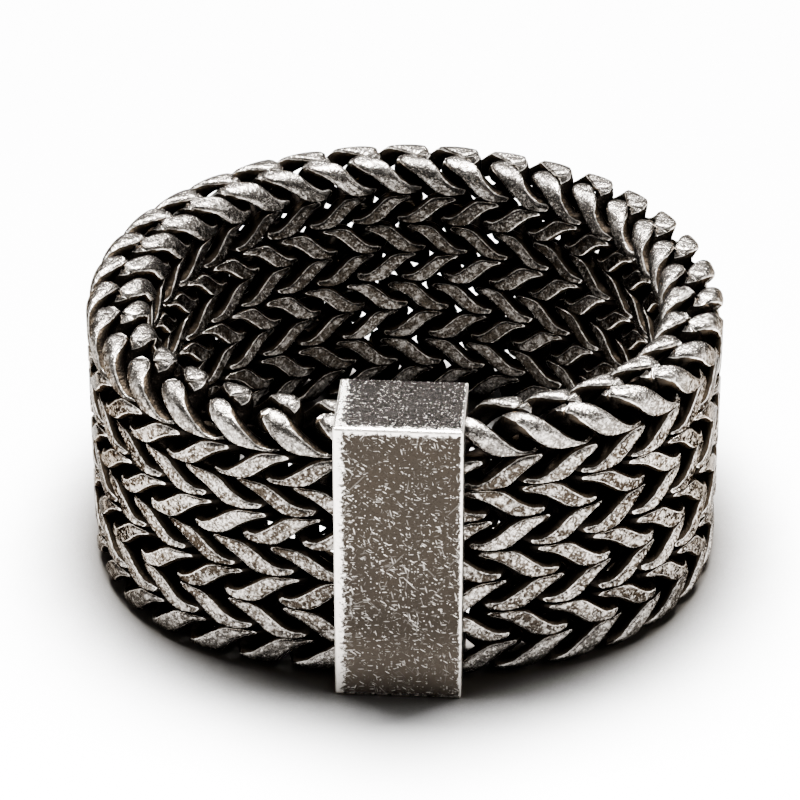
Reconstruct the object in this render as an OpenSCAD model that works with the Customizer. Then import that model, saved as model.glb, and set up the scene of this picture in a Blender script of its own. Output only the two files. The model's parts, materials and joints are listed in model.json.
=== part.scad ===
// Wide woven ring lying on its side: a herringbone band of interlocked
// links, bent to a circle, whose two ends enter a plain box at the front.
// The ring's axis is +Z, the box is on the -Y side and z = 0 is the surface
// that the ring lies on. All sizes are in millimetres.

/* [Band] */
// Inner diameter of the woven band, the finger size
band_bore_d = 20; // [16:0.5:24]
// Thickness of the band from its inner to its outer face
band_t = 2.6; // [2.2:0.1:3.2]
// Width of the band, its height as the ring lies on its side
band_h = 11.2; // [9:0.1:14]
// Rounding of the band's two rims
rim_r = 0.7; // [0.5:0.05:1]
// How far the slack band leaves its circle, in beside the box and out past it
slack = 0.6; // [0:0.05:0.7]

/* [Weave] */
// Stitches in the full circle
stitches = 34; // [26:1:40]
// Columns of slanted strands across each face of the band
columns = 8; // [6:2:10]
// Advance of a strand across one column, in stitches
strand_lean = 1.0; // [0.4:0.05:1.2]
// Depth of the furrows between neighbouring strands
furrow = 0.45; // [0.1:0.05:0.5]

/* [Box] */
// Width of the box, along the band
box_w = 4.8; // [3.5:0.05:7]
// How far the box's top stands above the band's upper rim
box_above = 0.5; // [0.1:0.05:0.8]
// Depth of the box, along the ring's radius
box_d = 3.8; // [3.6:0.1:5]
// How far the box's front stands out of the band's ends
box_proud = 0.85; // [0.5:0.05:1.1]
// Turn of the box about the vertical, which the slack of the weave allows
box_turn = -3; // [-5:1:5]
// Rounding of the box's edges
edge_r = 0.12; // [0.05:0.01:0.3]

/* [Joint of band and box] */
// Length of each band end that sits inside the box
tongue_l = 0.9; // [0.5:0.1:1.2]
// How much thinner than the band its end is, on each face
tongue_step = 0.5; // [0.4:0.05:0.7]
// How much lower than the band its end is, at each rim
tongue_drop = 1.2; // [1:0.1:1.6]
// Clearance between the band and the box
fit_gap = 0.05; // [0.03:0.01:0.1]

/* [Hidden] */
$fn = 32;
eps = 0.01;

// Radii of the band, and of its middle
inner_r = band_bore_d / 2;
outer_r = inner_r + band_t;
mid_r = inner_r + band_t / 2;

// Height of the box, whose underside is level with the band's lower rim
box_h = band_h + box_above;

// Radial distance of the band from its circle at angle a from the front. It
// is -slack at the front, about half as much outwards 50 degrees to each side,
// and dies away towards the back.
function bulge(a) = -slack * cos(3 * a) * pow(abs(cos(a / 2)), 3);

// The same where the band enters the box
end_bulge = bulge(asin(box_w / 2 / mid_r));

// The box's own centre, and the ring centre that puts the origin in the
// middle of the whole part
box_r = outer_r + end_bulge + box_proud - box_d / 2;
box_front = box_r + box_d / 2 * cos(box_turn) + box_w / 2 * abs(sin(box_turn));
ring_y = (box_front - outer_r) / 2;

// Height of the strands at the herringbone's corners, as a share of furrow
CORNER_RISE = 0.5;

// Half the arc that each station leans, in degrees
pitch_a = 360 / stitches;
half_lean = strand_lean * pitch_a / 2;
// Two slices to a stitch: the furrow and the crest of each strand
slices = 2 * round((360 - end_angle(mid_r, 1) - end_angle(mid_r, -1)) / pitch_a);

// Angle from the front at which the band's radius r meets the box's side, on
// the right (side = 1) or on the left (side = -1)
function end_angle(r, side) =
    side * box_turn
    + asin((box_w / 2 + fit_gap - side * box_r * sin(box_turn)) / (r + end_bulge));

// Arc length from a rim's flat middle part to the first corner line
rim_run = PI * rim_r / 2 + band_h / columns - rim_r;
// Lean along that run, from -1 on the rim to +1 at the corner line
function rim_lean(run) = 2 * run / rim_run - 1;

// A station of the band's section:
// [across from mid radius, height, outward normal [across, up], lean, rise]
// One rounded corner, from the flat of the lower rim to the first corner line
rim_stations = [
    for (k = [0 : 2])
        let (a = 45 * k)
        [band_t / 2 - rim_r + rim_r * sin(a), rim_r - rim_r * cos(a),
         [sin(a), -cos(a)], rim_lean(PI * rim_r / 2 * k / 2), 1],
];
// The face between the rims, with a station at each corner line and between
face_stations = [
    for (k = [2 : 2 * columns - 2])
        let (line = k / 2, on_line = k % 2 == 0)
        [band_t / 2, band_h * line / columns, [1, 0],
         on_line ? (line % 2 == 1 ? 1 : -1) : 0, on_line ? CORNER_RISE : 1],
];
outer_half = concat(
    rim_stations, face_stations,
    [for (k = [2 : -1 : 0]) flip_up(rim_stations[k])]
);
section = concat(
    [[0, 0, [0, -1], 0, 0]], outer_half,
    [[0, band_h, [0, 1], 0, 0]],
    [for (k = [len(outer_half) - 1 : -1 : 0]) flip_in(outer_half[k])]
);
per_slice = len(section);

// A station mirrored to the upper rim, and one mirrored to the inner face
function flip_up(s) = [s[0], band_h - s[1], [s[2][0], -s[2][1]], s[3], s[4]];
function flip_in(s) = [-s[0], s[1], [-s[2][0], s[2][1]], -s[3], s[4]];

// Radius and height of station s on slice i, sunk where a furrow runs
function woven(s, i) =
    let (sunk = furrow * (1 - s[4] * (i % 2)))
    [mid_r + s[0] - sunk * s[2][0], s[1] - sunk * s[2][1]];

// The lean fades out over the last stitch, so that each end is flat
function fade(i) = min(1, i / 2, (slices - i) / 2);

// Point of the band at station s on slice i
function band_point(s, i) =
    let (rz = woven(s, i),
         first = end_angle(rz[0], 1),
         last = 360 - end_angle(rz[0], -1),
         a = first + (last - first) * i / slices + half_lean * s[3] * fade(i),
         r = rz[0] + bulge(a))
    [r * sin(a), -r * cos(a), rz[1]];

// A point given in the box's frame: along its width, its depth and up
function from_box(p) =
    [p[0] * cos(box_turn) - p[1] * sin(box_turn),
     p[0] * sin(box_turn) + p[1] * cos(box_turn) - box_r, p[2]];

// Where the middle of the band meets the box's side, along the box's depth
function end_depth(side) =
    let (a = side * end_angle(mid_r, side), r = mid_r + end_bulge)
    -r * sin(a) * sin(box_turn) + (box_r - r * cos(a)) * cos(box_turn);

// Section of the band's end inside the box, along depth and up
tongue_t = band_t - 2 * tongue_step;
tongue_h = band_h - 2 * tongue_drop;
function tongue_ring(side, x) = [
    for (s = section)
        from_box([side * x,
                  end_depth(side) - s[0] * tongue_t / band_t,
                  band_h / 2 + (s[1] - band_h / 2) * tongue_h / band_h])
];

side_x = box_w / 2 + fit_gap;
rings = concat(
    [tongue_ring(1, box_w / 2 - tongue_l), tongue_ring(1, side_x)],
    [for (i = [0 : slices]) [for (s = section) band_point(s, i)]],
    [tongue_ring(-1, side_x), tongue_ring(-1, box_w / 2 - tongue_l)]
);

// Two triangles between neighbouring rings, split along the short way:
// the strands lean forward where the lean grows from station k to the next
function cell(a, b, forward) =
    let (n = per_slice)
    forward ? [[a, a + n, b], [b, a + n, b + n]]
            : [[a, a + n, b + n], [a, b + n, b]];

// Skin of the band over its rings, closed by a flat cap at each end
module skin() {
    n = per_slice;
    last = (len(rings) - 1) * n;
    polyhedron(
        points = [for (ring = rings) each ring],
        faces = concat(
            [[for (k = [0 : n - 1]) k]],
            [for (r = [0 : len(rings) - 2], k = [0 : n - 1])
                let (next = (k + 1) % n)
                each cell(r * n + k, r * n + next, section[next][3] > section[k][3])],
            [[for (k = [n - 1 : -1 : 0]) last + k]]
        ),
        convexity = 8
    );
}

module woven_band() {
    color([0.34, 0.33, 0.31])
    translate([0, ring_y, 0])
    skin();
}

// A rectangle with round corners, centred
module rounded_rect(w, h, r) {
    square([w - 2 * r, h], center = true);
    square([w, h - 2 * r], center = true);
    for (x = [-1, 1], y = [-1, 1])
        translate([x * (w / 2 - r), y * (h / 2 - r)])
        circle(r);
}

// The solid of the box, its twelve edges rounded
module box_solid() {
    intersection() {
        linear_extrude(box_h, center = true)
            rounded_rect(box_w, box_d, edge_r);
        rotate([90, 0, 0])
            linear_extrude(box_d, center = true)
            rounded_rect(box_w, box_h, edge_r);
        rotate([90, 0, 90])
            linear_extrude(box_w, center = true)
            rounded_rect(box_d, box_h, edge_r);
    }
}

// The hollow in one side of the box, which holds an end of the band
module pocket(side) {
    depth = tongue_l + fit_gap;
    translate([side * (box_w / 2 - (depth - eps) / 2), end_depth(side), band_h / 2])
    cube([depth + eps, tongue_t + 2 * fit_gap, tongue_h + 2 * fit_gap], center = true);
}

module front_box() {
    color([0.52, 0.49, 0.46])
    translate([0, ring_y - box_r, 0])
    rotate([0, 0, box_turn])
    difference() {
        translate([0, 0, box_h / 2])
            box_solid();
        pocket(1);
        pocket(-1);
    }
}

woven_band();
front_box();
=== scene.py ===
"""Dresses the woven ring: its interlocked links, its worn steel and a small pale studio.

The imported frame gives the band's radii, its height and the box. Every length below is in
metres, angles are measured from the front (-Y) towards +X, and the ring's axis is +Z.
"""

import json
import math

import bpy
import numpy as np
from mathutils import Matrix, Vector

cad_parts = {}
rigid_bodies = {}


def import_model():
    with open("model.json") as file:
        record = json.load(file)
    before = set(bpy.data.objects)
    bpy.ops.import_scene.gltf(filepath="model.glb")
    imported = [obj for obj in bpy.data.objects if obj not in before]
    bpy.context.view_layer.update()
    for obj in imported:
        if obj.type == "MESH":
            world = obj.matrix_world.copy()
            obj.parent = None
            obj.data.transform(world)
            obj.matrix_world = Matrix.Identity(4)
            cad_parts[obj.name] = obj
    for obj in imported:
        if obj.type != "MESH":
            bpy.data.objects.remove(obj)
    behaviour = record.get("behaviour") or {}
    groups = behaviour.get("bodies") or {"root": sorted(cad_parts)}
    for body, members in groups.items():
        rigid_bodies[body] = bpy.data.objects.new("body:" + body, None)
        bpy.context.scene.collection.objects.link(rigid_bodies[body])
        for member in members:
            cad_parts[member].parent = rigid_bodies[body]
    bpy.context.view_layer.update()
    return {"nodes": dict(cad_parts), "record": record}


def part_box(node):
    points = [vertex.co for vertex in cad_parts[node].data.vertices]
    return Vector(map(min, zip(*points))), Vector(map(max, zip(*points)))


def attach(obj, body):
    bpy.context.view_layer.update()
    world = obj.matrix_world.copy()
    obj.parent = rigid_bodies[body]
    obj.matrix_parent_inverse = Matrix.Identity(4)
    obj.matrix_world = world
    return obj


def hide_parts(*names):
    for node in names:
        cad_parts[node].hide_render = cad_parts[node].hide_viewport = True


bl_info = {
    "name": "Woven Link Ring",
    "version": (1, 0, 0),
    "blender": (4, 5, 0),
    "location": "3D View > Sidebar > Woven Ring",
    "description": "Weaves the ring's links, finishes its steel and sets up a plain studio",
    "category": "Object",
}

for startup_object in list(bpy.data.objects):
    bpy.data.objects.remove(startup_object)
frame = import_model()

MM = 0.001
# How far the links stay inside the solid that they stand for
SKIN_INSET = 0.03 * MM
HOLE = next(m for m in frame["record"]["mounts"] if m["name"] == "finger_hole")
CENTRE_Y = HOLE["pos_m"][1]
INNER_R = HOLE["dims"]["r_mm"] * MM
BAND_LOW, BAND_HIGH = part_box("woven_band")
BOX_LOW, BOX_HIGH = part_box("front_box")
OUTER_R = BAND_HIGH.y - CENTRE_Y
MID_R = (INNER_R + OUTER_R) / 2
HALF_T = (OUTER_R - INNER_R) / 2 - SKIN_INSET
BAND_H = BAND_HIGH.z - BAND_LOW.z - 2 * SKIN_INSET
MID_Z = (BAND_LOW.z + BAND_HIGH.z) / 2


class WovenLinkSettings(bpy.types.PropertyGroup):
    """Sizes of the links and of their weave."""

    stitches: bpy.props.FloatProperty(
        name="Stitches", description="Stitches in the full circle", default=34.5, min=26, max=40)
    rim_dip: bpy.props.FloatProperty(
        name="Rim dip", description="How much lower the upper rim's outer strands lie at the front",
        default=0.40 * MM, unit="LENGTH", precision=5)
    slack: bpy.props.FloatProperty(
        name="Slack", description="How far the band leaves its circle beside the box",
        default=0.6 * MM, unit="LENGTH", precision=5)
    half_length: bpy.props.FloatProperty(
        name="Half length", description="Half a link's length along the band, to its wire's middle",
        default=1.47 * MM, unit="LENGTH", precision=5)
    half_spread: bpy.props.FloatProperty(
        name="Half spread", description="How far a strand swings up and down from its column's middle",
        default=0.56 * MM, unit="LENGTH", precision=5)
    half_depth: bpy.props.FloatProperty(
        name="Half depth", description="How far a strand lies from the band's middle surface",
        default=0.955 * MM, unit="LENGTH", precision=5)
    rim_reach: bpy.props.FloatProperty(
        name="Rim reach", description="How much further a strand swings out towards a rim",
        default=0.05 * MM, unit="LENGTH", precision=5)
    column_step: bpy.props.FloatProperty(
        name="Column step", description="Height from the middle of one column to that of the next",
        default=1.364 * MM, unit="LENGTH", precision=5)
    wire_r: bpy.props.FloatProperty(
        name="Strand radius", description="Radius of the wire in the middle of a strand",
        default=0.40 * MM, unit="LENGTH", precision=5)
    bend_r: bpy.props.FloatProperty(
        name="Bend radius", description="Radius of the wire where it turns through the band",
        default=0.39 * MM, unit="LENGTH", precision=5)
    rim_r: bpy.props.FloatProperty(
        name="Rim rounding", description="Rounding of the band's rims, to which the links are worn",
        default=0.7 * MM, unit="LENGTH", precision=5)


class SteelSettings(bpy.types.PropertyGroup):
    """Colours of the aged steel."""

    worn: bpy.props.FloatVectorProperty(
        name="Worn steel", description="Colour of the faces that are worn bright",
        default=(0.048, 0.0395, 0.0315), subtype="COLOR", size=3, min=0, max=1)
    tarnish: bpy.props.FloatVectorProperty(
        name="Tarnish", description="Colour of worn steel under a brown film",
        default=(0.017, 0.0132, 0.0098), subtype="COLOR", size=3, min=0, max=1)
    # Bright colour of real wear on rubbed rims, scratches and the box's edges, and of painted
    # highlights: the links' face edges, gleams and glints, and part of the box's edges
    bright: bpy.props.FloatVectorProperty(
        name="Bright edges", description="Colour of the edges that are worn brightest",
        default=(0.75, 0.695, 0.635), subtype="COLOR", size=3, min=0, max=1)
    # Used for real pits and stains, and also as the colour of the painted shade on the inner faces
    stain_and_shade: bpy.props.FloatVectorProperty(
        name="Stain", description="Colour of the pits and stains on worn faces",
        default=(0.007, 0.0056, 0.0042), subtype="COLOR", size=3, min=0, max=1)
    # The links' colour runs from the flanks' colour near the skin to this one deepest between the
    # links, darker with depth
    black: bpy.props.FloatVectorProperty(
        name="Blackened steel", description="Colour deep between the links",
        default=(0.0040, 0.0032, 0.0026), subtype="COLOR", size=3, min=0, max=1)
    flank: bpy.props.FloatVectorProperty(
        name="Flanks", description="Colour of the links' flanks near the surface",
        default=(0.036, 0.027, 0.0185), subtype="COLOR", size=3, min=0, max=1)
    plate: bpy.props.FloatVectorProperty(
        name="Box steel", description="Colour of the box between its scratches",
        default=(0.0148, 0.0120, 0.0094), subtype="COLOR", size=3, min=0, max=1)
    lid: bpy.props.FloatVectorProperty(
        name="Box top", description="Colour of the top of the box between its scratches",
        default=(0.0118, 0.0108, 0.0106), subtype="COLOR", size=3, min=0, max=1)


class StudioSettings(bpy.types.PropertyGroup):
    """Where the camera stands, and how strong the light is."""

    azimuth: bpy.props.FloatProperty(
        name="Azimuth", description="Where the camera stands round the ring, from the front",
        default=math.radians(0.8), unit="ROTATION")
    elevation: bpy.props.FloatProperty(
        name="Elevation", description="Camera's angle above the surface",
        default=math.radians(29.66), unit="ROTATION")
    distance: bpy.props.FloatProperty(
        name="Distance", description="From the camera to the middle of the ring",
        default=153.1 * MM, unit="LENGTH")
    lens: bpy.props.FloatProperty(
        name="Lens", description="Focal length on a 36 mm wide sensor", default=171.1, unit="CAMERA")
    key: bpy.props.FloatProperty(
        name="Key light", description="Power of the large soft lamp", default=46.0, unit="POWER")


def smooth_step(low, high, value):
    """0 below low, 1 above high, and 3t^2 - 2t^3 between, where t is the share of the way."""
    t = np.clip((value - low) / (high - low), 0, 1)
    return t * t * (3 - 2 * t)


def skin_distance(out, up, rim_r):
    """Signed distance of points to the band's skin, positive outside, and its normal (out, up).

    The skin's section is a rectangle with round corners: with q the distance past the straight
    inner rectangle on each side, the distance is the length of q's positive part, plus the
    larger q where both are negative, less the corner radius.
    """
    q = np.stack([np.abs(out) - (HALF_T - rim_r), np.abs(up) - (BAND_H / 2 - rim_r)])
    past = np.maximum(q, 0)
    reach = np.hypot(past[0], past[1])
    distance = reach + np.minimum(q.max(axis=0), 0) - rim_r
    inside = reach < 1e-12
    flat = np.stack([(q[0] >= q[1]) * 1.0, (q[0] < q[1]) * 1.0])
    normal = np.where(inside, flat, past / np.where(inside, 1, reach))
    return distance, normal * np.stack([np.sign(out), np.sign(up)])


PIECE_NAMES = ("lower_rim_links", "lower_links", "upper_links", "upper_rim_links")
# How far each column, from the lowest up, is shifted along the band in stitches, and its stretch
COLUMN_PHASES = ((0.10, 1.0), (-0.06, 1.0), (-0.13, 1.0), (-0.27, 1.0),
                 (0.45, 0.99), (0.31, 0.99), (-0.41, 1.008), (-0.56, 1.008))
# Height of the lowest column's middle above the surface
LOWEST_COLUMN = 0.90 * MM
# No link's middle lies nearer to the front than this
END_LEAD = math.radians(6.5)
SEED = 11

# Rings along a link's wire, and sides of its section on the ground face and round the back
LINK_RINGS = 56
FLAT_SIDES = 6
ROUND_SIDES = 10
LINK_SIDES = FLAT_SIDES + ROUND_SIDES

# How blunt a link's ends are, and how square its loop is on each hand of column and at a rim
BLUNT = 0.04
SQUARE_ODD = 0.12
SQUARE_EVEN = 0.08
SQUARE_RIM = -0.04
# How much thicker the wire is where it runs round a rim
RIM_SWELL = 0.12
# Share of a column's half step where its links begin to be pressed, and the seam left between
PRESS = 0.62
SEAM = 0.05
# Height left to a ground face, as a share of what was pressed down
DOME = 0.14
# Half the angle of the facing sides where nothing is ground, and the cut that turns them fully
LEAST_FACE = math.radians(14)
TURNED_CUT = 0.35
# How much further the links of even columns lean out along their length
EVEN_LEAN = 0.04
# Share of the rim dip that the inner strands take
INNER_DIP = 0.4
# Depths under a rim between which the painted shade on the inner faces fades in
INNER_SHADE = (0.7 * MM, 1.5 * MM)
# The most that one link differs from the next, in the order in which the lots are drawn
VARIES = {"length": 0.02, "place": 0.05 * MM, "swing": 0.08, "height": 0.03 * MM, "depth": 0.02,
          "wire": 0.04, "level": 0.02 * MM, "tilt": 0.035, "lean": 0.05}
# Steps in which the length of the slack band is added up
ARC_STEPS = 720


def link_shape(s, size, column, columns):
    """Centre line of a link over the turn s, along the band, up and out, and the wire's radius.

    Along is a cosine with a little of its third harmonic, up is the sine of 2s, so that the
    outer and the inner strand cross, and out is minus a sine, squared up by its third harmonic.
    How square it is differs between the two hands of column, so that the strands of one hand
    pass over the other's tips, and it falls away towards a rim, where up swings out further and
    the wire is a little thicker.
    """
    odd = column % 2 == 1
    swing = np.sin(2 * s) * (1 if odd else -1)
    up = size.half_spread * swing
    square = np.full_like(s, SQUARE_ODD if odd else SQUARE_EVEN)
    rim_side = {0: -1, columns - 1: 1}.get(column)
    if rim_side:
        towards_rim = np.maximum(swing * rim_side, 0)
        up = up + rim_side * size.rim_reach * towards_rim ** 2
        square = square + (SQUARE_RIM - square) * smooth_step(0, 0.8, towards_rim)
    along = size.half_length * (np.cos(s) + BLUNT * np.cos(3 * s)) / (1 + BLUNT)
    out = -size.half_depth * (np.sin(s) + square * np.sin(3 * s)) / (1 - square)
    radius = size.bend_r + (size.wire_r - size.bend_r) * np.abs(np.sin(s)) ** 1.5
    if rim_side:
        radius = radius * (1 + RIM_SWELL * towards_rim)
    return along, up, out, radius


def squeezed(up, half, rim_side):
    """Heights within a column, pressed softly inside its own half step but free towards a rim.

    Past PRESS of the half step, a height goes on as a hyperbolic tangent that ends just short
    of the half step, so that neighbouring columns stay apart by a thin dark seam.
    """
    start = PRESS * half
    room = (1 - SEAM) * half - start
    held = np.sign(up) * (start + room * np.tanh((np.abs(up) - start) / room))
    free = (np.abs(up) < start) | (up * rim_side > 0)
    return np.where(free, up, held)


def unit(v):
    """Vectors along the last axis, at length 1."""
    return v / np.linalg.norm(v, axis=-1, keepdims=True)


def bulge(angle, slack):
    """How far the band lies outside its circle: minus slack at the front, where it is drawn in
    beside the box, half as much outwards 50 degrees to each side, and next to nothing behind.
    It is minus slack, times the cosine of 3 angles, times the cube of half the angle's cosine.
    """
    return -slack * np.cos(3 * angle) * np.abs(np.cos(angle / 2)) ** 3


def stitch_angles(size, shift, stretch):
    """Angles of one column's links, evenly spaced along the slack band from the back."""
    angle = np.linspace(0, 2 * math.pi, ARC_STEPS + 1)
    length = np.cumsum(MID_R + bulge(angle, size.slack)) * (angle[1] - angle[0])
    length -= length[ARC_STEPS // 2]
    pitch = 2 * math.pi * MID_R / size.stitches * stretch
    half = math.ceil(size.stitches / 2)
    centre = np.interp(pitch * (np.arange(-half, half + 1) + shift), length, angle)
    return centre[np.abs(centre - math.pi) < math.pi - END_LEAD]


def column_of_links(size, column, columns, shift, stretch):
    """Points of every link in one column, as links x rings x sides x 3, and four numbers at each.

    A wire is carried along the link's centre line. Its section turns to face the band's skin,
    and what would stand outside the skin is pressed down to it, as a ground face would be: the
    first sides run from edge to edge of that face and the rest round the wire's back.

    The numbers feed the steel: how far a point stood outside the skin in millimetres, how near
    it is to the wire's outermost line, the link's own lot, and how much painted shade darkens it on the
    inner face.
    """
    rng = np.random.default_rng(SEED + column)
    centre = stitch_angles(size, shift, stretch)
    count = len(centre)

    s = np.linspace(0, 2 * math.pi, LINK_RINGS, endpoint=False)
    along, up, out, radius = link_shape(s, size, column, columns)
    middle = LOWEST_COLUMN + column * size.column_step - MID_Z
    lots = rng.uniform(-1, 1, (len(VARIES), count, 1))
    vary = {kind: most * lot for (kind, most), lot in zip(VARIES.items(), lots)}
    along = along * (1 + vary["length"]) + vary["place"]
    up = up * (1 + vary["swing"]) + middle + vary["height"]
    out = out * (1 + vary["depth"]) - along * (vary["lean"] + (0 if column % 2 else EVEN_LEAN))
    # The two upper columns lie lower at the front, the rim's most of all
    if column >= columns - 2:
        dip = size.rim_dip * np.abs(np.cos(centre / 2))[:, None] ** 3
        share = INNER_DIP + (1 - INNER_DIP) * smooth_step(0, 1, out / size.half_depth)
        up = up - dip * share * (column - columns + 3) / 2
    path = np.stack([along, up, out], axis=-1)
    radius = radius * (1 + vary["wire"])

    # A frame for the wire's section, carried along its centre line
    tangent = unit(np.roll(path, -1, axis=1) - np.roll(path, 1, axis=1))
    away = np.stack([np.cos(s), np.zeros_like(s), -np.sin(s)], axis=-1)[None]
    side = unit(away - (away * tangent).sum(-1, keepdims=True) * tangent)
    other = np.cross(tangent, side)

    # Half the angle over which the section would stand outside the skin, and where that is
    distance, normal = skin_distance(path[..., 2], path[..., 1], size.rim_r)
    room = -distance - vary["level"] - vary["tilt"] * along
    facing = np.stack([np.zeros_like(normal[0]), normal[1], normal[0]], axis=-1)
    lean = np.stack([(facing * side).sum(-1), (facing * other).sum(-1)])
    slope = np.hypot(lean[0], lean[1])
    cut = np.arccos(np.clip(room / (radius * np.maximum(slope, 1e-6)), -1, 1))
    facing_turn = np.arctan2(lean[1], lean[0])
    turn = facing_turn * smooth_step(0, TURNED_CUT, cut)
    half_face = np.maximum(cut, LEAST_FACE)[..., None]

    # The section's points, with some shared out over that face and the rest round the back
    flat = np.linspace(-1, 1, FLAT_SIDES + 1) * half_face
    back = half_face + 2 * (math.pi - half_face) * np.arange(1, ROUND_SIDES) / ROUND_SIDES
    angle = turn[..., None] + np.concatenate([flat, back], axis=-1)
    spoke = (np.cos(angle)[..., None] * side[:, :, None]
             + np.sin(angle)[..., None] * other[:, :, None])
    point = path[:, :, None] + radius[:, :, None, None] * spoke

    rim_side = {0: -1, columns - 1: 1}.get(column, 0)
    point[..., 1] = middle + squeezed(point[..., 1] - middle, size.column_step / 2, rim_side)
    ridge = np.maximum(np.cos(angle - facing_turn[..., None]), 0) ** 8
    ridge = ridge * smooth_step(0.0, 0.5, slope)[..., None]
    # What stands outside the skin is pressed down to it
    distance, normal = skin_distance(point[..., 2], point[..., 1], size.rim_r)
    excess = distance + vary["level"][..., None] + vary["tilt"][..., None] * point[..., 0]
    press = np.maximum(excess, 0) * (1 - DOME)
    spread = point[..., 1] - normal[1] * press
    depth = point[..., 2] - normal[0] * press
    spread = np.clip(spread, -BAND_H / 2, BAND_H / 2)
    depth = np.clip(depth, -HALF_T, HALF_T)

    # The straight band is bent round the ring
    band_r = (MID_R + bulge(centre, size.slack))[:, None, None]
    turned = centre[:, None, None] + point[..., 0] / band_r
    reach = MID_R + bulge(turned, size.slack) + depth
    place = np.stack([reach * np.sin(turned), CENTRE_Y - reach * np.cos(turned),
                      MID_Z + spread], axis=-1)
    tone = np.broadcast_to(rng.uniform(0, 1, (count, 1, 1)), excess.shape)
    # Painted shade: the inner face's share of darkening, fading out under the rims
    inner = smooth_step(0.1, -0.1, path[..., 2:3] / HALF_T)
    inner = inner * smooth_step(BAND_H / 2 - INNER_SHADE[0], BAND_H / 2 - INNER_SHADE[1], spread)
    return place, excess / MM, ridge, tone, inner


def closed_tube_faces(tubes, rings, sides):
    """Quads of closed tubes: ring i and side j join the next side and the next ring, both round.

    The sides are numbered anticlockwise about the way that the rings run, so going to the next
    side first turns each face outwards.
    """
    t, i, j = np.meshgrid(np.arange(tubes), np.arange(rings), np.arange(sides), indexing="ij")
    base = t * rings * sides
    i2 = (i + 1) % rings
    j2 = (j + 1) % sides
    quads = [base + i * sides + j, base + i * sides + j2, base + i2 * sides + j2, base + i2 * sides + j]
    return np.stack(quads, axis=-1).reshape(-1, 4)


def mesh_object(name, points, quads, fields):
    """A smooth mesh object from whole arrays, with a number at each point for each field."""
    mesh = bpy.data.meshes.new(name)
    mesh.vertices.add(len(points))
    mesh.vertices.foreach_set("co", points.astype(np.float32).ravel())
    mesh.loops.add(quads.size)
    mesh.loops.foreach_set("vertex_index", quads.astype(np.int32).ravel())
    mesh.polygons.add(len(quads))
    mesh.polygons.foreach_set("loop_start", np.arange(0, quads.size, 4, dtype=np.int32))
    mesh.polygons.foreach_set("use_smooth", np.ones(len(quads), dtype=bool))
    for field, values in fields.items():
        layer = mesh.attributes.new(field, "FLOAT", "POINT")
        layer.data.foreach_set("value", values.astype(np.float32).ravel())
    mesh.update(calc_edges=True)
    mesh.validate()
    piece = bpy.data.objects.new(name, mesh)
    bpy.context.scene.collection.objects.link(piece)
    return piece


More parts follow.
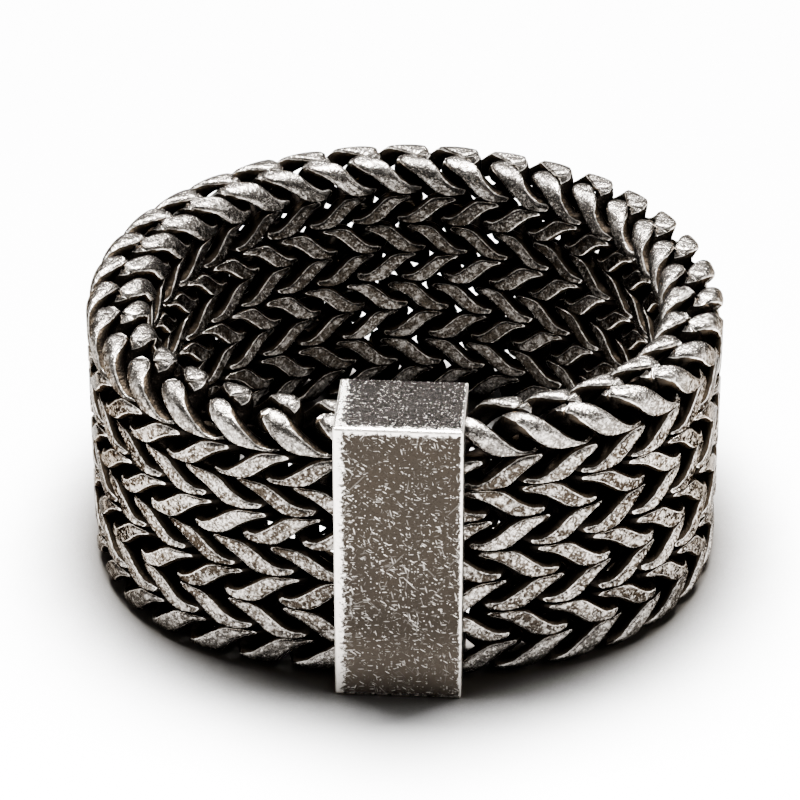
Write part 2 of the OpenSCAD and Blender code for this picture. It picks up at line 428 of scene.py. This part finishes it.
class NodeSheet:
    """A material's node tree, with short words for the nodes that these finishes use."""

    def __init__(self, name):
        self.material = bpy.data.materials.new(name)
        self.material.use_nodes = True
        self.nodes = self.material.node_tree.nodes
        self.links = self.material.node_tree.links
        self.shader = self.nodes["Principled BSDF"]
        self.place = self.nodes.new("ShaderNodeTexCoord").outputs["Object"]

    def put(self, socket, value):
        """Sets a socket to a constant, or links it to another socket."""
        if isinstance(value, bpy.types.NodeSocket):
            self.links.new(value, socket)
        else:
            socket.default_value = value

    def field(self, name):
        """A number stored at each point of the mesh."""
        node = self.nodes.new("ShaderNodeAttribute")
        node.attribute_name = name
        return node.outputs["Fac"]

    def maths(self, operation, first, second=0.0, third=0.0):
        """One step of arithmetic."""
        node = self.nodes.new("ShaderNodeMath")
        node.operation = operation
        for socket, value in zip(node.inputs, (first, second, third)):
            self.put(socket, value)
        return node.outputs[0]

    def step(self, value, low, high, start=0.0, end=1.0):
        """A smooth step of value from start at low to end at high."""
        node = self.nodes.new("ShaderNodeMapRange")
        node.interpolation_type = "SMOOTHSTEP"
        self.put(node.inputs["Value"], value)
        self.put(node.inputs["From Min"], low)
        self.put(node.inputs["From Max"], high)
        self.put(node.inputs["To Min"], start)
        self.put(node.inputs["To Max"], end)
        return node.outputs["Result"]

    def noise(self, grain, detail=3.0, rough=0.55):
        """Cloudy noise whose lumps are about one grain wide."""
        node = self.nodes.new("ShaderNodeTexNoise")
        self.put(node.inputs["Vector"], self.place)
        node.inputs["Scale"].default_value = 1 / grain
        node.inputs["Detail"].default_value = detail
        node.inputs["Roughness"].default_value = rough
        return node.outputs["Fac"]

    def flecks(self, grain, reach, place, rare):
        """Spots up to this reach, in the cells of a scattered pattern whose lot is above rare."""
        node = self.nodes.new("ShaderNodeTexVoronoi")
        self.put(node.inputs["Vector"], place)
        node.inputs["Scale"].default_value = 1 / grain
        split = self.nodes.new("ShaderNodeSeparateColor")
        self.links.new(node.outputs["Color"], split.inputs[0])
        size = self.step(split.outputs["Red"], rare, 1.0, 0.0, reach)
        rim = self.maths("SUBTRACT", node.outputs["Distance"], size)
        strength = self.maths("POWER", split.outputs["Green"], 4.0)
        strength = self.maths("MULTIPLY_ADD", strength, 0.88, 0.05)
        return self.maths("MULTIPLY", self.step(rim, -0.07, 0.02, 1.0, 0.0), strength)

    def turned(self, turn, stretch, move=(0, 0, 0), place=None):
        """Coordinates moved, turned by angles about X, Y and Z, then scaled."""
        node = self.nodes.new("ShaderNodeMapping")
        self.put(node.inputs["Vector"], place or self.place)
        node.inputs["Location"].default_value = move
        node.inputs["Rotation"].default_value = turn
        node.inputs["Scale"].default_value = stretch
        return node.outputs["Vector"]

    def blend(self, share, first, second):
        """Colour that runs from first to second with share."""
        node = self.nodes.new("ShaderNodeMix")
        node.data_type = "RGBA"
        self.put(node.inputs["Factor"], share)
        for socket, value in ((node.inputs["A"], first), (node.inputs["B"], second)):
            self.put(socket, value if isinstance(value, bpy.types.NodeSocket) else (*value, 1))
        return node.outputs["Result"]

    def bump(self, height, distance, over=None):
        """Normals tipped by a height map of this depth, over another bump if given."""
        node = self.nodes.new("ShaderNodeBump")
        self.put(node.inputs["Height"], height)
        node.inputs["Distance"].default_value = distance
        node.inputs["Strength"].default_value = 1.0
        if over is not None:
            self.put(node.inputs["Normal"], over)
        return node.outputs["Normal"]


# How much both steels keep of their shine where they are seen along the surface
LINK_GRAZING_TINT = (0.19, 0.172, 0.15, 1)
BOX_GRAZING_TINT = (0.32, 0.30, 0.27, 1)
# How bright the steel is where it is rubbed by the rims, and on the box's scratches
RUBBED_BRIGHT = 0.22
SCRATCH_BRIGHT = 0.8
# Painted light: how much lighter the box is painted low down, where it mirrors the dark floor
PAINTED_LOW_LIGHT = 4

# The turn that squares the box up with its axes, and half its width, depth and height
BOX_TURN = math.radians(3)
BOX_HALF = (2.4 * MM, 1.9 * MM, (BOX_HIGH.z - BOX_LOW.z) / 2)
# Width of the bright edges, partly real wear and partly painted highlight, at the low and at the high
# end of each of the box's three axes
EDGE_WEAR_AND_HIGHLIGHT = ((0.36 * MM, 0.10 * MM), (0.24 * MM, 0.07 * MM), (0.10 * MM, 0.22 * MM))
# Size of the small round specks between the scratches, and the lot below which a cell is bare
SPECK = 0.11 * MM
SPECK_RARE = 0.20
# Angle, length and width of each set of scratches, and the lot below which a cell is bare
SCRATCH_SETS = (
    (0.30, 0.36 * MM, 0.066 * MM, 0.65),
    (1.20, 0.32 * MM, 0.060 * MM, 0.65),
    (1.80, 0.50 * MM, 0.070 * MM, 0.75),
    (-0.60, 0.30 * MM, 0.060 * MM, 0.65),
    (2.60, 0.40 * MM, 0.066 * MM, 0.75),
    (0.05, 0.36 * MM, 0.066 * MM, 0.55),
    (1.45, 2.00 * MM, 0.100 * MM, 0.85),
    (0.85, 1.60 * MM, 0.090 * MM, 0.85),
    (2.30, 1.40 * MM, 0.090 * MM, 0.85),
)
# What each set is moved by, so that no two fall on the same cells
SCRATCH_MOVE = (3.7, 1.9, 5.3)


def worn_link_steel(steel):
    """Steel of the links: mottled where ground, with painted highlights along that face's edge,
    brightest where worn by the rims.
    """
    sheet = NodeSheet("worn_link_steel")
    ground = sheet.field("ground")
    lumps = sheet.noise(0.30 * MM)
    mottle = sheet.noise(0.15 * MM, rough=0.6)
    fine = sheet.noise(0.10 * MM, rough=0.65)
    patch = sheet.noise(0.9 * MM, detail=2.0)

    split = sheet.nodes.new("ShaderNodeSeparateXYZ")
    sheet.put(split.inputs[0], sheet.place)
    from_middle = sheet.maths("ABSOLUTE", sheet.maths("SUBTRACT", split.outputs["Z"], MID_Z))
    rubbed = sheet.step(from_middle, BAND_H / 2 - 2.2 * MM, BAND_H / 2 - 0.5 * MM, 0.0, 0.35)

    # Where the wire was ground, a painted highlight along that face's edge, and how deep its flanks lie
    cut = sheet.maths("MULTIPLY_ADD", sheet.field("ridge"), 0.24, ground)
    cut = sheet.maths("MULTIPLY_ADD", rubbed, 0.30, cut)
    cut = sheet.maths("ADD", cut, sheet.maths("MULTIPLY_ADD", lumps, 0.07, -0.035))
    face = sheet.step(cut, -0.02, 0.012)
    # Painted highlight: a bright band along each ground face's edge
    edge = sheet.step(cut, 0.018, 0.045, 1.0, 0.0)
    edge = sheet.maths("MULTIPLY", sheet.step(cut, -0.03, 0.0), edge)
    edge = sheet.maths("MULTIPLY", edge, sheet.step(lumps, 0.40, 0.55, 0.25, 1.0))
    # How deep a point lies below the band's skin: the colour runs darker with depth
    deep = sheet.maths("POWER", sheet.step(ground, -0.42, -0.03), 2.2)

    # Mottling of the ground faces: tarnish and pits, with painted highlights as broad gleams and small
    # glints
    dull = sheet.maths("MULTIPLY_ADD", sheet.field("tone"), 0.24, -0.12)
    dull = sheet.maths("ADD", dull, sheet.maths("MULTIPLY_ADD", patch, 0.8, -0.40))
    # Painted shade: the inner faces also take more tarnish and pits
    dull = sheet.maths("MULTIPLY_ADD", sheet.field("inner"), 0.10, dull)
    blotch = sheet.maths("MULTIPLY_ADD", lumps, 0.55, sheet.maths("MULTIPLY", mottle, 0.45))
    dark = sheet.step(sheet.maths("ADD", blotch, dull), 0.44, 0.58)
    pits = sheet.step(sheet.maths("MULTIPLY_ADD", dull, 0.3, fine), 0.60, 0.72)
    # Painted highlight: small bright glints standing in for the light's sparkle
    painted_glints = sheet.step(sheet.maths("MULTIPLY_ADD", dull, 0.3, fine), 0.485, 0.345)
    top = sheet.blend(dark, steel.worn, steel.tarnish)
    top = sheet.blend(rubbed, top, [RUBBED_BRIGHT * v for v in steel.bright])
    # Painted highlight: broad gleams of the bright colour over the faces
    painted_gleam = sheet.step(lumps, 0.49, 0.34, 0.0, 0.26)
    top = sheet.blend(painted_gleam, top, steel.bright)
    top = sheet.blend(sheet.maths("MULTIPLY", painted_glints, 0.50), top, steel.bright)
    top = sheet.blend(sheet.maths("MULTIPLY", pits, 0.8), top, steel.stain_and_shade)
    # Painted shade on the inner faces, in the stain colour
    top = sheet.blend(sheet.maths("MULTIPLY", sheet.field("inner"), 0.75), top, steel.stain_and_shade)
    # Below the ground faces the colour runs from the flanks' colour near the skin to near black with
    # depth
    below = sheet.blend(deep, steel.black, steel.flank)
    colour = sheet.blend(face, below, top)
    # Painted highlight along the edges of the ground faces, in the bright colour
    colour = sheet.blend(edge, colour, steel.bright)
    sheet.put(sheet.shader.inputs["Base Color"], colour)
    sheet.shader.inputs["Metallic"].default_value = 1.0
    sheet.shader.inputs["Specular Tint"].default_value = LINK_GRAZING_TINT
    rough = sheet.maths("MULTIPLY_ADD", pits, 0.25, 0.26)
    rough = sheet.maths("ADD", rough, sheet.maths("MULTIPLY_ADD", face, -0.12, 0.12))
    sheet.put(sheet.shader.inputs["Roughness"], rough)
    relief = sheet.bump(fine, 0.03 * MM)
    relief = sheet.bump(lumps, 0.05 * MM, over=relief)
    sheet.put(sheet.shader.inputs["Normal"], relief)
    return sheet.material


def scratched_box_steel(steel):
    """Steel of the box: brown grey under short pale scratches and specks, bright along its edges."""
    sheet = NodeSheet("scratched_box_steel")
    middle = (BOX_LOW + BOX_HIGH) / 2
    centred = sheet.turned((0, 0, 0), (1, 1, 1), move=[-v for v in middle])
    squared = sheet.turned((0, 0, BOX_TURN), (1, 1, 1), place=centred)
    split = sheet.nodes.new("ShaderNodeSeparateXYZ")
    sheet.put(split.inputs[0], squared)
    # Distance from the nearest edge, the middle one of the three, in widths of the bright edge of wear
    # and painted highlight
    inset = []
    for side, half, (low_width, high_width) in zip(split.outputs, BOX_HALF, EDGE_WEAR_AND_HIGHLIGHT):
        width = sheet.step(side, -0.1 * half, 0.1 * half, low_width, high_width)
        gap = sheet.maths("SUBTRACT", half, sheet.maths("ABSOLUTE", side))
        inset.append(sheet.maths("DIVIDE", gap, width))
    low = sheet.maths("MINIMUM", inset[0], inset[1])
    high = sheet.maths("MAXIMUM", inset[0], inset[1])
    from_edge = sheet.maths("MAXIMUM", low, sheet.maths("MINIMUM", high, inset[2]))

    frayed = sheet.noise(0.20 * MM, detail=4.0, rough=0.7)
    fine = sheet.noise(0.06 * MM)
    patch = sheet.noise(1.6 * MM, detail=2.0)
    worn_in = sheet.maths("ADD", from_edge, sheet.maths("MULTIPLY_ADD", frayed, 3.2, -1.6))
    edge = sheet.step(worn_in, 0.65, 1.1, 1.0, 0.0)
    crease = sheet.step(from_edge, 0.10, 0.16)
    lid = sheet.step(split.outputs["Z"], BOX_HALF[2] - 0.05 * MM, BOX_HALF[2] - 0.01 * MM)

    # Specks and scratches, thicker low down and by the edges
    reach = sheet.step(split.outputs["Z"], -0.2 * BOX_HALF[2], BOX_HALF[2], 0.37, 0.30)
    reach = sheet.maths("ADD", reach, sheet.maths("MULTIPLY_ADD", patch, 0.20, -0.10))
    reach = sheet.maths("ADD", reach, sheet.step(from_edge, 0.8, 3.0, 0.14, 0.0))
    marks = sheet.flecks(SPECK, reach, squared, SPECK_RARE)
    for number, (angle, length, width, rare) in enumerate(SCRATCH_SETS):
        run = sheet.turned((0, angle, 0), (1, 1, 1), place=squared)
        run = sheet.turned((0, 0, 0), (1 / length, 1 / width, 1 / width),
                           move=[number * move for move in SCRATCH_MOVE], place=run)
        marks = sheet.maths("MAXIMUM", marks, sheet.flecks(1.0, reach, run, rare))

    plain = sheet.blend(sheet.step(patch, 0.40, 0.65, 0.0, 0.4), steel.plate, steel.tarnish)
    plain = sheet.blend(sheet.step(fine, 0.48, 0.65, 0.0, 0.4), plain, steel.stain_and_shade)
    # Painted light: the box's colour is lighter low down, against the dark floor that it mirrors
    painted_low_light = sheet.step(split.outputs["Z"], -BOX_HALF[2], -0.4 * BOX_HALF[2], 0.9, 0.0)
    plain = sheet.blend(painted_low_light, plain, [PAINTED_LOW_LIGHT * v for v in steel.plate])
    plain = sheet.blend(sheet.maths("MULTIPLY", lid, 0.8), plain, steel.lid)
    marks = sheet.maths("MULTIPLY", marks, sheet.maths("MULTIPLY_ADD", lid, -0.3, 1.0))
    colour = sheet.blend(marks, plain, [SCRATCH_BRIGHT * v for v in steel.bright])
    # The bright edges are partly real wear and partly painted highlight
    edge = sheet.maths("MULTIPLY", edge, sheet.maths("MULTIPLY_ADD", crease, 0.5, 0.5))
    colour = sheet.blend(edge, colour, steel.bright)
    sheet.put(sheet.shader.inputs["Base Color"], colour)
    sheet.shader.inputs["Metallic"].default_value = 1.0
    sheet.shader.inputs["Specular Tint"].default_value = BOX_GRAZING_TINT
    rough = sheet.maths("MULTIPLY_ADD", lid, -0.17, 0.30)
    rough = sheet.maths("MULTIPLY_ADD", marks, 0.22, rough)
    sheet.put(sheet.shader.inputs["Roughness"], sheet.maths("MULTIPLY_ADD", fine, 0.16, rough))
    relief = sheet.bump(sheet.maths("SUBTRACT", fine, marks), 0.02 * MM)
    relief = sheet.bump(frayed, 0.008 * MM, over=relief)
    sheet.put(sheet.shader.inputs["Normal"], relief)
    return sheet.material


class RING_OT_weave_links(bpy.types.Operator):
    """Weave the interlocked links of the band, two columns to a piece."""

    bl_idname = "ring.weave_links"
    bl_label = "Weave Links"

    def execute(self, context):
        size = context.scene.ring_links
        steel = worn_link_steel(context.scene.ring_steel)
        for number, name in enumerate(PIECE_NAMES):
            parts = [column_of_links(size, column, 2 * len(PIECE_NAMES), *COLUMN_PHASES[column])
                     for column in (2 * number, 2 * number + 1)]
            points, *fields = (np.concatenate([p[k] for p in parts]) for k in range(5))
            quads = closed_tube_faces(len(points), LINK_RINGS, LINK_SIDES)
            # The field named inner carries the painted shade of the inner faces
            piece = mesh_object(name, points.reshape(-1, 3), quads,
                                dict(zip(("ground", "ridge", "tone", "inner"), fields)))
            piece.data.materials.append(steel)
            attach(piece, "root")
            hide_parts("woven_band")
        return {"FINISHED"}


class RING_OT_finish_box(bpy.types.Operator):
    """Give the box its scratched steel with worn edges."""

    bl_idname = "ring.finish_box"
    bl_label = "Finish Box"

    def execute(self, context):
        box = frame["nodes"]["front_box"]
        box.data.materials.clear()
        box.data.materials.append(scratched_box_steel(context.scene.ring_steel))
        return {"FINISHED"}


# Half the side of the floor, its steel-like share and how rough it is
FLOOR_HALF = 3.0
FLOOR_METALLIC = 0.3
FLOOR_ROUGH = 0.40
FLOOR_PALE = (0.93, 0.93, 0.93)
FLOOR_SHADED = (0.035, 0.029, 0.023)
# How far the contact shade reaches from the ring, and the open share at which it is darkest
CONTACT_SHADE = 5.8 * MM
DARKEST_OPEN = 0.36
ROOM_LIGHT = 0.22
# Name, place, width and height of each soft lamp, and its share of the key light
LAMPS = (
    ("overhead", (0.0, 0.16, 0.44), (0.34, 0.22), 1.0),
    ("left_side", (-0.40, 0.02, 0.20), (0.20, 0.25), 0.01),
    ("right_side", (0.40, 0.02, 0.20), (0.20, 0.25), 0.02),
)
# Width of the camera's sensor in its own millimetres
SENSOR_W = 36
# Side of the picture and the shift of the ring in it, in pixels
FRAME_PX = 800
SHIFT_PX = (5.3, 0.0)


def stage_plane(name, half):
    """A flat square floor at height 0."""
    mesh = bpy.data.meshes.new(name)
    mesh.from_pydata([(-half, -half, 0), (half, -half, 0), (half, half, 0), (-half, half, 0)],
                     [], [(0, 1, 2, 3)])
    floor = bpy.data.objects.new(name, mesh)
    bpy.context.scene.collection.objects.link(floor)
    return floor


def soft_lamp(name, place, aim, width, height, power):
    """A rectangular area lamp at place, facing aim."""
    data = bpy.data.lights.new(name, "AREA")
    data.shape = "RECTANGLE"
    data.size = width
    data.size_y = height
    data.energy = power
    lamp = bpy.data.objects.new(name, data)
    lamp.location = place
    lamp.rotation_euler = (Vector(aim) - Vector(place)).to_track_quat("-Z", "Y").to_euler()
    bpy.context.scene.collection.objects.link(lamp)


class RING_OT_set_studio(bpy.types.Operator):
    """Set up the pale floor, the soft light and the camera."""

    bl_idname = "ring.set_studio"
    bl_label = "Set Studio"

    def execute(self, context):
        scene = context.scene
        studio = scene.ring_studio
        floor = stage_plane("pale_floor", FLOOR_HALF)
        sheet = NodeSheet("pale_floor")
        # The floor is dark where the ring shuts it in, as the photo's contact shade is
        near = sheet.nodes.new("ShaderNodeAmbientOcclusion")
        near.inputs["Distance"].default_value = CONTACT_SHADE
        clear = sheet.maths("POWER", sheet.step(near.outputs["AO"], DARKEST_OPEN, 1.0), 2.0)
        colour = sheet.blend(clear, FLOOR_SHADED, FLOOR_PALE)
        sheet.put(sheet.shader.inputs["Base Color"], colour)
        sheet.shader.inputs["Metallic"].default_value = FLOOR_METALLIC
        sheet.shader.inputs["Roughness"].default_value = FLOOR_ROUGH
        floor.data.materials.append(sheet.material)

        world = bpy.data.worlds.new("pale_room")
        world.use_nodes = True
        room = world.node_tree.nodes["Background"]
        room.inputs["Color"].default_value = (1, 1, 1, 1)
        room.inputs["Strength"].default_value = ROOM_LIGHT
        scene.world = world

        centre = Vector((0, CENTRE_Y, MID_Z))
        for name, place, (width, height), share in LAMPS:
            soft_lamp(name, place, centre, width, height, studio.key * share)

        back = Vector((math.sin(studio.azimuth) * math.cos(studio.elevation),
                       -math.cos(studio.azimuth) * math.cos(studio.elevation),
                       math.sin(studio.elevation)))
        data = bpy.data.cameras.new("camera")
        data.sensor_width = SENSOR_W
        data.lens = studio.lens
        data.shift_x = -SHIFT_PX[0] / FRAME_PX
        data.shift_y = SHIFT_PX[1] / FRAME_PX
        data.clip_start = 0.005
        data.clip_end = 10
        camera = bpy.data.objects.new("camera", data)
        camera.location = centre + back * studio.distance
        camera.rotation_euler = back.to_track_quat("Z", "Y").to_euler()
        scene.collection.objects.link(camera)
        scene.camera = camera
        return {"FINISHED"}


class RING_PT_panel(bpy.types.Panel):
    """Buttons for the ring's pieces and its stage."""

    bl_idname = "RING_PT_panel"
    bl_label = "Woven Ring"
    bl_space_type = "VIEW_3D"
    bl_region_type = "UI"
    bl_category = "Woven Ring"

    def draw(self, context):
        layout = self.layout
        for setting in SETTINGS:
            group = getattr(context.scene, setting)
            for name in group.__annotations__:
                layout.prop(group, name)
        for operator in OPERATORS:
            layout.operator(operator.bl_idname)


OPERATORS = (RING_OT_weave_links, RING_OT_finish_box, RING_OT_set_studio)
SETTINGS = {
    "ring_links": WovenLinkSettings,
    "ring_steel": SteelSettings,
    "ring_studio": StudioSettings,
}


def register():
    """Adds the settings, the operators and the panel."""
    for cls in (*SETTINGS.values(), *OPERATORS, RING_PT_panel):
        bpy.utils.register_class(cls)
    for name, cls in SETTINGS.items():
        setattr(bpy.types.Scene, name, bpy.props.PointerProperty(type=cls))


def unregister():
    """Takes them away again."""
    for name in SETTINGS:
        delattr(bpy.types.Scene, name)
    for cls in reversed((*SETTINGS.values(), *OPERATORS, RING_PT_panel)):
        bpy.utils.unregister_class(cls)


def main():
    register()
    bpy.ops.ring.weave_links()
    bpy.ops.ring.finish_box()
    bpy.ops.ring.set_studio()
    bpy.context.view_layer.update()


if __name__ == "__main__":
    main()
